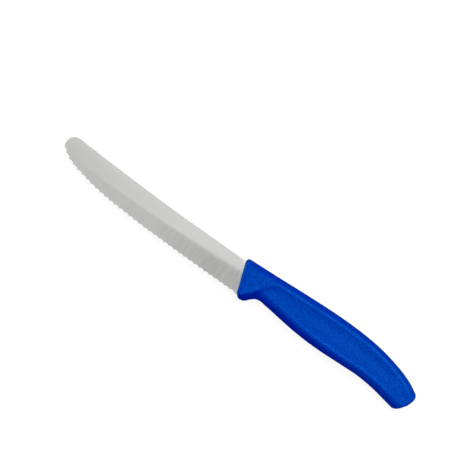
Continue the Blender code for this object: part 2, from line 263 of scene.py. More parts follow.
def close_skin(name, grid, sharp_angle):
    """grid is (rings, points round, 3). Edges sharper than the angle, in degrees, stay crisp."""
    rings, around, _ = grid.shape
    index = np.arange(rings * around).reshape(rings, around)
    near, far = index[:-1], index[1:]
    faces = np.stack((near, np.roll(near, -1, 1), np.roll(far, -1, 1), far), -1).reshape(-1, 4).tolist()
    faces += [index[0].tolist(), index[-1].tolist()]
    mesh = bpy.data.meshes.new(name)
    mesh.from_pydata(grid.reshape(-1, 3), [], faces)
    bm = bmesh.new()
    bm.from_mesh(mesh)
    bmesh.ops.remove_doubles(bm, verts=bm.verts, dist=MERGE_DISTANCE)
    bmesh.ops.recalc_face_normals(bm, faces=bm.faces)
    bm.to_mesh(mesh)
    bm.free()
    mesh.shade_smooth()
    mesh.set_sharp_from_angle(angle=math.radians(sharp_angle))
    print(name, "has", len(mesh.polygons), "faces")
    return add_object(name, mesh)


# %% [markdown]
# The blade is stamped from a 1.2 mm sheet. Its spine is straight at the handle and sweeps up a little
# to a round nose, and the line of the tooth tips is straight for half its length and then rises to
# meet the nose. Just inside the handle both lines step in to the narrower tang.

# %% Outline of the blade
BLADE_LENGTH = 0.1107
BLADE_THICKNESS = 0.0012
TIP_THICKNESS = 0.0009
SPINE_HEIGHT = 0.00805
EDGE_DEPTH = 0.00825
TIP_RISE = 0.0024
NOSE_RADIUS = 0.0050
SPINE_CURVE_START = 0.32
SPINE_CURVE_POWER = 1.65
EDGE_CURVE = ((0.0, 0.0), (0.2, 0.0), (0.31, 0.006), (0.42, 0.018), (0.52, 0.032), (0.60, 0.060),
              (0.685, 0.095), (0.77, 0.155), (0.85, 0.248), (0.91, 0.336), (0.945, 0.426),
              (0.973, 0.538), (1.0, 0.70))
TANG_LENGTH = 0.062
TANG_TOP = 0.0068
TANG_BOTTOM = -0.0016
TANG_CORNER_RADIUS = 0.002
HEEL_TOP = (0.0010, 0.0040)
HEEL_BOTTOM = (0.0029, 0.0081)
BLADE_DEPTH = SPINE_HEIGHT + EDGE_DEPTH


def spine_rise(share):
    """Rise of the spine: the tip's rise times a power of the share of the way to the tip."""
    run = np.clip((share - SPINE_CURVE_START) / (1 - SPINE_CURVE_START), 0.0, 1.0)
    return TIP_RISE * run ** SPINE_CURVE_POWER


NOSE_HEIGHT = SPINE_HEIGHT + spine_rise(1 - NOSE_RADIUS / BLADE_LENGTH) - NOSE_RADIUS


def blade_top(x):
    """Height of the spine: the lower of the sweep and the nose circle, easing to the tang's top."""
    spine = SPINE_HEIGHT + spine_rise(-x / BLADE_LENGTH)
    nose = NOSE_HEIGHT + NOSE_RADIUS - round_inset(x + BLADE_LENGTH, NOSE_RADIUS)
    step = ramp(x, *HEEL_TOP)
    return np.minimum(spine, nose) * (1 - step) + TANG_TOP * step


def blade_bottom(x):
    """Height of the tooth tips' line: the edge's curve, held above the nose circle at the tip."""
    belly = -EDGE_DEPTH + BLADE_DEPTH * smooth_curve(EDGE_CURVE, -x / BLADE_LENGTH)
    nose = NOSE_HEIGHT - NOSE_RADIUS + round_inset(x + BLADE_LENGTH, NOSE_RADIUS)
    outline = np.where(x + BLADE_LENGTH < NOSE_RADIUS / 2, np.maximum(belly, nose), belly)
    step = ramp(x, *HEEL_BOTTOM)
    return outline * (1 - step) + TANG_BOTTOM * step


print("nose centre, in millimetres above the middle:", round(1000 * NOSE_HEIGHT, 2))

# %% [markdown]
# The wavy edge is a row of hollows of 3.1 mm, each cut by a round wheel. They lie side by side, so
# that two neighbours meet in a pointed tooth. In plan each hollow is an arc of a circle. The wheel
# always cuts straight up from the table, so where the edge rises to the nose the hollows grow deeper
# and lean: their long side points to the tip, and a short steep side leads down to the next tooth.

# %% Waves
WAVE_PITCH = 0.0031
WAVE_DEPTH = 0.0006
WAVE_START = 0.0014
WAVE_COUNT = 36
NOSE_WAVES = (0.089, 0.102)
NOSE_WAVE_DEPTH = 0.00085
NOSE_WAVE_SHIFT = 0.0007
NOSE_WAVE_LEAN = 0.37
NOSE_END_FADE = (0.0002, 0.0026)
TOOTH_TIPS = WAVE_START - WAVE_PITCH * np.arange(WAVE_COUNT, -1, -1)
TOOTH_TIPS = TOOTH_TIPS - NOSE_WAVE_SHIFT * ramp(-TOOTH_TIPS, *NOSE_WAVES)


def deepest_share(x):
    """Where a hollow is deepest, as a share of its width: its middle, and later towards the nose."""
    return 0.5 + NOSE_WAVE_LEAN * ramp(-x, *NOSE_WAVES)


def wave_lift(x):
    """Rise of the edge above the tooth tips' line: sqrt(R squared - u squared) - (R - depth).

    The place u runs evenly from the tooth to the deepest point and evenly on to the next tooth.
    """
    number = np.interp(x, TOOTH_TIPS, np.arange(WAVE_COUNT + 1))
    first = np.clip(np.floor(number), 0, WAVE_COUNT - 1).astype(int)
    share = number - first
    deepest = deepest_share((TOOTH_TIPS[first] + TOOTH_TIPS[first + 1]) / 2)
    evened = np.where(share < deepest, share / deepest, 1 + (share - deepest) / (1 - deepest)) / 2
    half = WAVE_PITCH / 2
    depth = between(WAVE_DEPTH, NOSE_WAVE_DEPTH, ramp(-x, *NOSE_WAVES))
    radius = (half ** 2 + depth ** 2) / (2 * depth)
    lift = np.sqrt(radius ** 2 - (WAVE_PITCH * (evened - 0.5)) ** 2) - (radius - depth)
    return np.maximum(lift, 0.0) * ramp(x + BLADE_LENGTH, *NOSE_END_FADE)


print("waves:", WAVE_COUNT)

# %% [markdown]
# The sheet is flat near the spine and ground thinner towards the edge on both sides. The line where
# the grinding starts drops from near the spine at the handle to the middle, and climbs again at the
# tip. The waves are then ground from one side only: on the far side every hollow has a slanting
# facet, and the near side stays smooth down to the edge. The whole section is one ring of points: up
# the near side, over the spine and down the far side.

# %% Section of the blade
SHEET_ROUNDING = 0.00006
EDGE_THICKNESS = 0.00040
EDGE_LAND = 0.00003
NOSE_RIM_THICKNESS = 0.0007
GRIND_CURVE = ((0.0, 0.71), (0.03, 0.66), (0.066, 0.64), (0.156, 0.595), (0.32, 0.55), (0.56, 0.50),
               (0.83, 0.53), (0.90, 0.57), (0.95, 0.66), (1.0, 0.85))
GRIND_SHARE_MIN = 0.32
FLAT_SHARE_MIN = 0.2
FLAT_SHARE_AT_END = 0.15
GRIND_HEIGHT_MIN = 0.006
GRIND_BLEND = 0.0005
FACET_ANGLE = math.radians(13.0)
STEEPEST_OUTLINE = 40.0
MOST_WIDENING = 2
CORNER_SHARE_MAX = 0.2
CORNER_ROOM = (3, 2)
FACET_ROWS = 7
GROUND_ROWS = 9
BLEND_ROWS = 6
FLAT_ROWS = 7
CORNER_ROWS = 12


def grind_line(x):
    """Height where the grinding starts: a smooth curve, kept a share of the way up the blade."""
    low, top = blade_bottom(x), blade_top(x)
    line = -EDGE_DEPTH + BLADE_DEPTH * smooth_curve(GRIND_CURVE, -x / BLADE_LENGTH)
    line = np.maximum(line, low + GRIND_SHARE_MIN * (top - low))
    return np.minimum(line, top - FLAT_SHARE_MIN * (top - low))


def longer(line, x):
    """How much longer an outline is than its run along X: sqrt(1 + slope squared)."""
    slope = np.gradient(line(x), x[:, 0], axis=0)
    return np.hypot(1, np.clip(slope, -STEEPEST_OUTLINE, STEEPEST_OUTLINE))


def blade_skin(x, waves, grow):
    """The steel's surface at each x, as (columns, points round, 3), moved outward by grow.

    It has the hollows of the waves or a plain edge. The half thickness is the smaller of the
    sheet's and of the ground face's, which narrows with the depth below the grind line. A
    quarter-round takes the corners off the spine and nose. On the far side the facet's plane,
    which rises from the edge at the facet angle, cuts it back.
    """
    x = x[:, None]
    longer_top, longer_low = longer(blade_top, x), longer(blade_bottom, x)
    tang_end = round_inset(TANG_LENGTH + grow - x, TANG_CORNER_RADIUS)
    top = blade_top(x) + grow * np.minimum(longer_top, MOST_WIDENING) - tang_end
    low = blade_bottom(x) - grow * np.minimum(longer_low, MOST_WIDENING) + tang_end
    edge = low + (wave_lift(x) if waves else 0.0)

    nose = 1 - ramp(x, TOOTH_TIPS[1] - WAVE_PITCH / 2, TOOTH_TIPS[1])
    in_heel = ramp(x, HEEL_BOTTOM[0], 2 * HEEL_BOTTOM[0])
    sharp = (1 - nose) * (1 - in_heel) * waves
    half = between(BLADE_THICKNESS, TIP_THICKNESS, ramp(-x, BLADE_LENGTH / 2, BLADE_LENGTH)) / 2
    edge_half = between(EDGE_THICKNESS, NOSE_RIM_THICKNESS, nose) / 2
    edge_half = between(edge_half, half, in_heel)
    grind = np.minimum(grind_line(x), top - FLAT_SHARE_AT_END * (top - low))
    taper = (half - edge_half) / np.maximum(grind - low, GRIND_HEIGHT_MIN)
    face = half - taper * (grind - edge)
    facet_slope = math.tan(FACET_ANGLE)
    run = np.minimum((2 * face - EDGE_LAND) / (facet_slope - taper), (grind - edge) / 2)
    corner_top = np.minimum(SHEET_ROUNDING * longer_top, CORNER_SHARE_MAX * (top - low))
    corner_low = np.minimum(SHEET_ROUNDING * longer_low, CORNER_SHARE_MAX * (top - low))
    run = run * sharp + corner_low * (1 - sharp)

    # The rows of the flat keep a few corner widths clear of the spine's round. At the tip the
    # stretches overlap, so all rows are sorted to keep them from folding over.
    blend = np.minimum(GRIND_BLEND, (grind - edge - run) / 2)
    flat = np.minimum(grind + blend, top - CORNER_ROOM[0] * corner_top)
    rows = np.sort(np.hstack((
        between(edge, edge + run, 1 - np.cos(np.linspace(0.0, math.pi / 2, FACET_ROWS))),
        between(edge + run, grind - blend, np.linspace(0.0, 1.0, GROUND_ROWS)[1:]),
        between(grind - blend, flat, np.linspace(0.0, 1.0, BLEND_ROWS)[1:]),
        between(flat, top - CORNER_ROOM[1] * corner_top, np.linspace(0.0, 1.0, FLAT_ROWS)[1:]),
        between(top - corner_top, top, np.sin(np.linspace(0.0, math.pi / 2, CORNER_ROWS))),
    )), axis=1)
    thickness = soft_min(half, half - taper * (grind - rows), taper * GRIND_BLEND)
    from_top = (top - rows) / longer_top
    from_low = (rows - low) / longer_low + sharp * BLADE_DEPTH
    from_rim = from_top * from_low / np.maximum(from_top + from_low, TINY)
    near_side = thickness - round_inset(from_rim, SHEET_ROUNDING) + grow
    steepness = (2 * face - EDGE_LAND) / np.maximum(run, TINY) + taper
    facet = EDGE_LAND - face + (rows - edge) * steepness + (1 - sharp) * BLADE_DEPTH
    far_side = np.minimum(near_side, facet) if waves else near_side

    x = x + 0 * rows
    near = np.stack((x, rows, near_side), -1)
    far = np.stack((x, rows, -far_side), -1)
    return np.concatenate((near, far[:, ::-1]), axis=1)


print("grind line at the handle, in millimetres:", round(1000 * float(grind_line(0.0)), 1))

# %% [markdown]
# The columns of the grid follow what they have to show: they crowd together round the nose, every
# wave has sixteen of them with one on each tooth tip, and the tang needs few. The steel then has
# three round holes punched through the tang, which the plastic fills.

# %% Blade
NOSE_COLUMNS = 40
CLOSEST_COLUMNS = 0.00002
COLUMNS_PER_WAVE = 16
HEEL_COLUMNS = 30
TANG_COLUMNS = 24
TANG_END_COLUMNS = 10
HOLE_RADIUS = 0.0020
HOLE_SPACING = 0.016
HOLE_COUNT = 3
HOLE_END_MARGIN = 0.009
ROD_SIDES = 64
PUNCH_LENGTH = 4 * BLADE_THICKNESS


def tang_columns(end):
    """Places from the heel to the tang's end, closing up on its round corners."""
    straight = np.linspace(HEEL_BOTTOM[1], end - TANG_CORNER_RADIUS, TANG_COLUMNS)[1:]
    turn = np.linspace(0.0, math.pi / 2, TANG_END_COLUMNS)[1:]
    return np.concatenate((straight, end - TANG_CORNER_RADIUS * (1 - np.sin(turn))))


def apply_tool(obj, tool, operation):
    """Cuts or joins one solid with another and keeps the result as the object's own mesh.

    The cut leaves a few points that join only two edges. They are taken out, because triangles
    would lie double there.
    """
    modifier = obj.modifiers.new("join", "BOOLEAN")
    modifier.operation = operation
    modifier.solver = "EXACT"
    modifier.object = tool
    bpy.context.view_layer.update()
    whole = bpy.data.meshes.new_from_object(obj.evaluated_get(bpy.context.evaluated_depsgraph_get()))
    bm = bmesh.new()
    bm.from_mesh(whole)
    bmesh.ops.dissolve_verts(bm, verts=[point for point in bm.verts if len(point.link_edges) == 2])
    bm.to_mesh(whole)
    bm.free()
    obj.modifiers.clear()
    old, obj.data = obj.data, whole
    whole.name = obj.name
    bpy.data.meshes.remove(old)
    bpy.data.objects.remove(tool)
    print(obj.name, operation.lower(), "leaves", len(whole.polygons), "faces")


def tang_rods(radius, length):
    """Upright round rods at the tang's holes."""
    bm = bmesh.new()
    middle = (TANG_TOP + TANG_BOTTOM) / 2
    for number in range(HOLE_COUNT):
        place = (TANG_LENGTH - HOLE_END_MARGIN - HOLE_SPACING * number, middle, 0.0)
        bmesh.ops.create_cone(bm, cap_ends=True, segments=ROD_SIDES, radius1=radius, radius2=radius,
                              depth=length, matrix=Matrix.Translation(place))
    mesh = bpy.data.meshes.new("rods")
    bm.to_mesh(mesh)
    bm.free()
    return add_object("rods", mesh)


# Inside each wave the columns are spread evenly on both sides of its deepest place. A column of the
# nose that would nearly meet one of them is left out.
turn = np.linspace(0.0, math.pi / 2, NOSE_COLUMNS)
nose_columns = NOSE_RADIUS * (1 - np.cos(turn)) - BLADE_LENGTH
deepest = deepest_share((TOOTH_TIPS[:-1] + TOOTH_TIPS[1:]) / 2)[:, None]
evened = np.arange(COLUMNS_PER_WAVE) / COLUMNS_PER_WAVE
share = np.where(evened < 0.5, 2 * evened * deepest, deepest + (2 * evened - 1) * (1 - deepest))
wave_columns = (TOOTH_TIPS[:-1, None] + np.diff(TOOTH_TIPS)[:, None] * share).ravel()
wave_columns = wave_columns[wave_columns > nose_columns[0]]
nose_columns = nose_columns[np.abs(nose_columns[:, None] - wave_columns).min(axis=1) > CLOSEST_COLUMNS]
wave_columns = np.sort(np.concatenate((nose_columns, wave_columns)))
heel_columns = np.linspace(TOOTH_TIPS[-1], HEEL_BOTTOM[1], HEEL_COLUMNS)
blade_columns = np.concatenate((wave_columns, heel_columns, tang_columns(TANG_LENGTH)))
blade = close_skin("fine_blade", blade_skin(blade_columns, waves=True, grow=0.0), sharp_angle=9.0)
apply_tool(blade, tang_rods(HOLE_RADIUS, PUNCH_LENGTH), "DIFFERENCE")

# %% [markdown]
# The handle is one moulding. Its outline is two curves, the spine and the belly, and its front and
# butt are slanted, so every ring of the grid lies on a line that leans a little. The leaning line
# has to meet the curves, and a few rounds of trying the height at the last place find where.

# %% Outline of the handle
HANDLE_LENGTH = 0.1070
HANDLE_THICKNESS = 0.0130
SPINE_HUMP = 0.0045
GRIP_HOLLOW = 0.0039
HANDLE_SPINE = ((-0.035, 0.42), (0.02, 0.47), (0.12, 0.585), (0.30, 0.83), (0.42, 0.96),
                (0.527, 1.0), (0.63, 0.925), (0.72, 0.72), (0.82, 0.265), (0.89, -0.205),
                (0.935, -0.63), (0.97, -1.08), (1.01, -1.60))
HANDLE_BELLY = ((0.0, -0.295), (0.055, -0.295), (0.072, -0.14), (0.094, 0.48), (0.112, 0.87),
                (0.133, 1.0), (0.165, 0.93), (0.24, 0.675), (0.34, 0.37), (0.43, 0.225),
                (0.51, 0.225), (0.61, 0.33), (0.71, 0.41), (0.80, 0.195), (0.89, -0.24),
                (0.96, -0.58))
FRONT_SLANT = math.radians(19.0)
BUTT_SLANT = math.radians(27.0)
FRONT_TURN_LENGTH = 0.014
BUTT_TURN_LENGTH = 0.022
MEET_TRIES = 12


def handle_spine(x):
    """Height of the handle's spine: the hump's height times a smooth curve."""
    return SPINE_HEIGHT + SPINE_HUMP * smooth_curve(HANDLE_SPINE, x / HANDLE_LENGTH)


def handle_belly(x):
    """Height of the handle's belly: the grip's hollow times a smooth curve."""
    return -EDGE_DEPTH + GRIP_HOLLOW * smooth_curve(HANDLE_BELLY, x / HANDLE_LENGTH)


def meet(rail, x, lean):
    """Height where the line x + lean * height meets the rail, found by repeated trying."""
    height = rail(x)
    for _ in range(MEET_TRIES):
        height = rail(x + lean * height)
    return height


def lean_at(x):
    """Slope of the ring at x: the front's slant fades out behind it and the butt's fades in."""
    front = -math.tan(FRONT_SLANT) * (1 - ramp(x, 0.0, FRONT_TURN_LENGTH))
    return front + math.tan(BUTT_SLANT) * ramp(x, HANDLE_LENGTH - BUTT_TURN_LENGTH, HANDLE_LENGTH)


print("handle depth at its middle, in millimetres:",
      round(1000 * float(handle_spine(HANDLE_LENGTH / 2) - handle_belly(HANDLE_LENGTH / 2)), 1))

# %% [markdown]
# Across, the handle is crowned along its spine and round along its belly, and each side is pressed
# in for the fingers. A crease closes the flat panel at the front. Behind it the dish is deepest, and
# it follows a ridge under the spine all the way back until it runs out before the butt.

# %% Dish in the handle's side
CROWN_DEPTH = 0.0028
BELLY_ROUND_HEIGHT = 0.0050
BELLY_ROUND = ((0.0, 0.44), (0.04, 0.54), (0.07, 1.1), (0.105, 1.06), (0.145, 0.98), (0.2, 0.99),
               (0.28, 0.97), (0.37, 0.91), (0.45, 0.87), (0.52, 0.82), (0.61, 0.78), (0.75, 0.81),
               (0.84, 0.81), (0.91, 0.79), (1.0, 0.8))
BELLY_POWER = 1.6
RIDGE_BLEND = 0.0008
FRONT_DISH_DEPTH = 0.0018
DISH_DEPTH = 0.0016
DISH_RETURN = 0.0006
DISH_WALL = (0.0035, 0.0066)
DISH_EASE = 0.62
DISH_RETURN_WIDTH = 0.0026
DISH_CORNER_BLEND = 0.0145
CREASE_OFFSET = 0.0088
CREASE_ANGLE = math.radians(88.0)
DEEP_DISH_END = (0.14, 0.26)
DISH_RETURN_START = (0.12, 0.20)
DISH_RUN_OUT = (0.80, 0.96)


def belly_round(x):
    """Height over which each side closes round on the belly."""
    return BELLY_ROUND_HEIGHT * smooth_curve(BELLY_ROUND, x / HANDLE_LENGTH)


def dish_inside(x, y):
    """Distance in from the dish's rim: the soft smaller of below the ridge and behind the crease."""
    below_ridge = handle_spine(x) - CROWN_DEPTH - y
    behind_crease = (x - CREASE_OFFSET) * math.sin(CREASE_ANGLE) - y * math.cos(CREASE_ANGLE)
    return soft_min(below_ridge, behind_crease, DISH_CORNER_BLEND)


def dish_depth(x, y):
    """How far the side is pressed in: a depth along the handle times an ease in from its rim.

    The ease is the S-curve of a power of the distance, so it falls quickly at the rim and then
    levels out. At the lower side the depth comes back a little, and at the butt it runs out.
    """
    share = x / HANDLE_LENGTH
    run_out = 1 - ramp(share, *DISH_RUN_OUT)
    in_grip = ramp(share, *DEEP_DISH_END)
    depth = between(FRONT_DISH_DEPTH, DISH_DEPTH, in_grip)
    wall = between(*DISH_WALL, in_grip)
    low_edge = handle_belly(x) + belly_round(x)
    back = DISH_RETURN * ramp(share, *DISH_RETURN_START)
    back = back * (1 - np.clip((y - low_edge) / DISH_RETURN_WIDTH, 0.0, 1.0)) ** 2
    ease = ramp(np.clip(dish_inside(x, y) / wall, 0.0, 1.0) ** DISH_EASE, 0.0, 1.0)
    return (depth - back) * run_out * ease


print("dish behind the crease, in millimetres:", round(1000 * float(dish_depth(0.016, 0.0)), 2))

# %% [markdown]
# The ring's half width is the smaller of two curves, the crown's arc and the dished side, with the
# corner between them softened into the ridge. Where the two halves of the mould met, a fine raised
# line runs along the spine and the belly. It needs a few rows close beside the middle. Both ends are
# rounded, with more rings there, and smaller and smaller rings close them. At the butt these bulge out.

# %% Handle
# The radii of both ends are given at the spine, at the belly and on the sides.
END_RADII = {"front": (0.0023, 0.0026, 0.0012), "butt": (0.0034, 0.0034, 0.0013)}
BUTT_END = 0.1065
BUTT_CROWN = 0.00050
MOULD_LINE_HEIGHT = 0.00003
MOULD_LINE_WIDTH = 0.00012
MOULD_LINE_ROWS = (0.0, 0.005, 0.010, 0.016, 0.024)
SECTION_ROWS = 92
END_RINGS = 16
FRONT_RINGS = 60
BODY_RINGS = 150
FINE_FRONT = 0.025
CAP_RINGS = 6


def handle_skin(x):
    """The handle's surface at each x, as (rings, points round, 3).

    A row at angle t is at bottom + (top - bottom) (1 + cos t) / 2. The half width there is the
    soft smaller of two curves. One is sqrt(R squared - (R - s) squared), s below the spine. The
    other is the dished side times the belly's round, which is the p-th root of 1 - (1 - f) to
    the power p, where f goes from 0 to 1 up the round and p is the belly's power.
    """
    x = x[:, None]
    at_front = x < HANDLE_LENGTH / 2
    distance = np.where(at_front, x, BUTT_END - x)
    spine_in, belly_in, side_in = (
        np.where(at_front, round_inset(distance, front), round_inset(distance, butt))
        for front, butt in zip(END_RADII["front"], END_RADII["butt"]))
    lean = lean_at(x)
    top = meet(handle_spine, x, lean) - spine_in
    bottom = meet(handle_belly, x, lean) + belly_in
    beside = np.array(MOULD_LINE_ROWS)
    t = np.concatenate((beside, np.linspace(beside[-1], math.pi - beside[-1], SECTION_ROWS)[1:-1],
                        math.pi - beside[::-1]))
    y = bottom + (top - bottom) * (1 + np.cos(t)) / 2
    along = x + lean * y

    half = HANDLE_THICKNESS / 2
    crown_radius = (half ** 2 + CROWN_DEPTH ** 2) / (2 * CROWN_DEPTH)
    below = np.minimum(top - y, crown_radius)
    crown = np.sqrt(np.maximum(crown_radius ** 2 - (crown_radius - below) ** 2, 0.0))
    from_belly = np.clip((y - bottom) / belly_round(along), 0.0, 1.0)
    side = (half - dish_depth(along, y)) * (1 - (1 - from_belly) ** BELLY_POWER) ** (1 / BELLY_POWER)
    width = soft_min(crown, side, RIDGE_BLEND * ramp(top - y, 0.0, CROWN_DEPTH / 2))
    width = width * (1 - side_in / half)
    width[:, (0, -1)] = 0.0
    line = MOULD_LINE_HEIGHT * np.clip(1 - width / MOULD_LINE_WIDTH, 0.0, 1.0)
    y = y + np.where(t < math.pi / 2, line, -line)
    upper = np.stack((along, y, width), -1)
    lower = np.stack((along, y, -width), -1)[:, -2:0:-1]
    return np.concatenate((upper, lower), axis=1)


def cap_rings(ring, bulge):
    """Rings that shrink from the last one to its middle, bulging out by (1 - share squared)."""
    middle = ring.mean(axis=0)
    share = np.cos(np.linspace(0.0, math.pi / 2, CAP_RINGS + 1))[1:, None, None]
    rings = middle + (ring - middle) * share
    rings[..., 0] += bulge * (1 - share[..., 0] ** 2)
    return rings


ease = 1 - np.cos(np.linspace(0.0, math.pi / 2, END_RINGS))
front_end = max(END_RADII["front"]) * ease
butt_end = BUTT_END - max(END_RADII["butt"]) * ease[::-1]
handle_places = np.concatenate((front_end, np.linspace(front_end[-1], FINE_FRONT, FRONT_RINGS)[1:],
                                np.linspace(FINE_FRONT, butt_end[0], BODY_RINGS)[1:-1], butt_end))
rings = handle_skin(handle_places)
rings = np.concatenate((cap_rings(rings[0], 0.0)[::-1], rings, cap_rings(rings[-1], BUTT_CROWN)))
handle = close_skin("fine_handle", rings, sharp_angle=30.0)

# %% [markdown]
# The plastic shrinks tight on the steel as it cools, so the slot at the handle's front shows no gap.
# The pocket is cut with the blade's own skin, without waves and a few hundredths of a millimetre
# larger, and three pillars of plastic are left standing in the tang's holes.

# %% Pocket and pillars
SNUG = 0.00003
PILLAR_ROOT = 0.0010
POCKET_FRONT = -0.013
POCKET_FRONT_COLUMNS = 10
pocket_columns = np.concatenate((np.linspace(POCKET_FRONT, HEEL_TOP[0], POCKET_FRONT_COLUMNS),
                                 np.linspace(HEEL_TOP[0], HEEL_BOTTOM[1], HEEL_COLUMNS)[1:],
                                 tang_columns(TANG_LENGTH + SNUG)))
pocket = close_skin("pocket", blade_skin(pocket_columns, waves=False, grow=SNUG), sharp_angle=30.0)
apply_tool(handle, pocket, "DIFFERENCE")
apply_tool(handle, tang_rods(HOLE_RADIUS - SNUG, BLADE_THICKNESS + 2 * PILLAR_ROOT), "UNION")

# %% [markdown]
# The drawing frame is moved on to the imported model: the middle of the fine blade's box goes to the
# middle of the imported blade's box, and the handle makes the same move. The points themselves are
# moved, so both objects stay at the origin.

# %% Put both pieces in their place
def mesh_points(obj):
    """The mesh's points as one array."""
    points = np.empty(3 * len(obj.data.vertices))
    obj.data.vertices.foreach_get("co", points)
    return points.reshape(-1, 3)


def corners(points):
    """The lowest and the highest corner of the points' box."""
    return np.array([points.min(axis=0), points.max(axis=0)])


move = (np.array(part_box("blade")) - corners(mesh_points(blade))).mean(axis=0)
for piece in (blade, handle):
    piece.data.transform(Matrix.Translation(Vector(move)))
    off = np.array(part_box(piece.name.replace("fine_", ""))) - corners(mesh_points(piece))
    print(piece.name, "is off the packed box by at most", round(1000 * np.abs(off).max(), 3), "mm")
print("move, in millimetres:", np.round(1000 * move, 3))

# %% [markdown]
# Much of the blade's finish and its painted light follow its shape, so they are stored on the points
# as shares: how far a point is ground, and how near it lies to the edge, to the spine at the tip and to
# the handle, where painted light brightens the steel.

# %% Stored shares for the blade
EDGE_BAND = 0.0022
SPINE_BAND = 0.0050
SPINE_BAND_START = (0.045, 0.095)
HANDLE_BAND = 0.0020
HANDLE_BAND_ON_FLAT = 0.5
GROUND_SOFTNESS = ((-1.0, 0.0004), (-0.55, 0.0005), (-0.24, 0.0014), (-0.05, 0.0024), (1.0, 0.0024))


def store(obj, name, values):
    """Keeps one number for each point of the mesh under a name that a material can read."""
    layer = obj.data.attributes.new(name, "FLOAT", "POINT")
    layer.data.foreach_set("value", np.ascontiguousarray(values, np.float32).ravel())


def behind_front(x, y):
    """Distance behind the handle's slanted front, square to it."""
    return x * math.cos(FRONT_SLANT) + y * math.sin(FRONT_SLANT)


x, y, _ = (mesh_points(blade) - move).T
below_line = grind_line(x) - y
softness = smooth_curve(GROUND_SOFTNESS, x / BLADE_LENGTH)
in_ground = ramp(below_line, -softness, softness)
store(blade, "ground", in_ground)
# Shares for painted light: near the edge, near the spine at the tip and near the handle.
store(blade, "near_edge", 1 - ramp(y - blade_bottom(x), 0.0, EDGE_BAND))
store(blade, "near_spine",
      ramp(-x, *SPINE_BAND_START) * (1 - ramp(blade_top(x) - y, 0.0, SPINE_BAND)))
store(blade, "near_handle",
      (1 - ramp(-behind_front(x, y), 0.0, HANDLE_BAND)) * between(HANDLE_BAND_ON_FLAT, 1.0, in_ground))
print("ground share of the blade's points:", round(float((below_line > 0).mean()), 2))

# %% [markdown]
# The handle gets two shares of painted light. One is painted shade on the steep walls, which deepens
# the blue the steeper a wall is. Walls that face the light, at the spine, the front and the butt, get
# less of it, and so does the rear of the handle. The other is a painted highlight, which makes the blue
# paler along the rims of the dish, down the middle of the grip and on the front.

# %% Stored shares for the handle
WALL_TILTS = (math.radians(9.0), math.radians(52.0))
FACING = (0.1, 0.5)
SPINE_SHARE = 0.42
BUTT_SHARE = 0.6
BUTT_STRETCH = (0.090, 0.100)
FRONT_STRETCH = (0.004, 0.008)
REAR_SHARE = 0.3
REAR_STRETCH = (0.035, 0.095)
PANEL_SHARE = 0.3
PANEL_LINE = 0.0014
PANEL_LINE_WIDTH = 0.0009
RIM_PLACES = (0.00030, -0.00015)
RIM_SHIFT = (0.055, 0.085)
RIM_WIDTH = 0.00060
RIM_FRONT_SHARE = 0.45
RIM_START = (0.014, 0.024)
RIM_END = (0.096, 0.105)
LOWER_RIDGE = 0.00025
RIDGE_WIDTH = 0.00045
RIDGE_STRETCH = ((0.010, 0.048), (0.083, 0.099))
MIDDLE_HIGHLIGHT_PLACE = 0.53
MIDDLE_HIGHLIGHT_WIDTH = 0.0022
MIDDLE_HIGHLIGHT_SHARE = 0.35
MIDDLE_HIGHLIGHT_STRETCH = ((0.030, 0.055), (0.090, 0.104))
FRONT_HIGHLIGHT = 0.4


def bell(distance, width):
    """1 at no distance, and falling off as e to the power of -(distance / width) squared."""
    return np.exp(-(distance / width) ** 2)


def stretch(x, start, end):
    """1 along a stretch of the handle, with an ease in at its start and out at its end."""
    return ramp(x, *start) * (1 - ramp(x, *end))


normals = np.empty(3 * len(handle.data.vertices))
handle.data.vertex_normals.foreach_get("vector", normals)
normal_x, normal_y, normal_z = normals.reshape(-1, 3).T
tilt = np.arccos(np.clip(np.abs(normal_z), 0.0, 1.0))
x, y, _ = (mesh_points(handle) - move).T
toward_spine = ramp(normal_y, *FACING)
toward_butt = ramp(normal_x, *FACING) * ramp(x, *BUTT_STRETCH)
toward_front = ramp(-normal_x, *FACING) * (1 - ramp(x, *FRONT_STRETCH))
lit = 1 - (1 - SPINE_SHARE * toward_spine) * (1 - BUTT_SHARE * toward_butt) * (1 - toward_front)
lit = lit + (1 - lit) * REAR_SHARE * ramp(x, *REAR_STRETCH)
# A faint line of painted shade follows the front, just behind its round edge.
panel = PANEL_SHARE * bell(behind_front(x, y) - PANEL_LINE, PANEL_LINE_WIDTH) * (1 - toward_front)
store(handle, "wall", np.maximum(ramp(tilt, *WALL_TILTS) * (1 - lit), panel))

# The places of painted highlight: the dish's rim, the ridge below it and the middle of the grip.
rim_gap = dish_inside(x, y) - between(*RIM_PLACES, ramp(x, *RIM_SHIFT))
lower_gap = y - (handle_belly(x) + belly_round(x) + LOWER_RIDGE)
middle_gap = y - between(handle_belly(x), handle_spine(x), MIDDLE_HIGHLIGHT_PLACE)
painted_highlight = bell(rim_gap, RIM_WIDTH) * between(RIM_FRONT_SHARE, 1.0, ramp(x, *RIM_START))
painted_highlight = painted_highlight * ramp(lower_gap, -LOWER_RIDGE, RIDGE_WIDTH) * (1 - ramp(x, *RIM_END))
painted_highlight = painted_highlight + bell(lower_gap, RIDGE_WIDTH) * stretch(x, *RIDGE_STRETCH)
painted_highlight = painted_highlight + MIDDLE_HIGHLIGHT_SHARE * bell(middle_gap, MIDDLE_HIGHLIGHT_WIDTH) * stretch(x, *MIDDLE_HIGHLIGHT_STRETCH)
store(handle, "painted_highlight", painted_highlight + FRONT_HIGHLIGHT * toward_front)
print("steepest wall of the handle, in degrees:", round(math.degrees(tilt.max())))

# %% [markdown]
# Each finish is a Principled shader with a noise in its colour and in a very small bump. Five helpers
# start a material, read a stored share, make a noise, dim a colour and put the material on its piece.

# %% Helpers for the finishes
NOISE_ROUGHNESS = 0.6


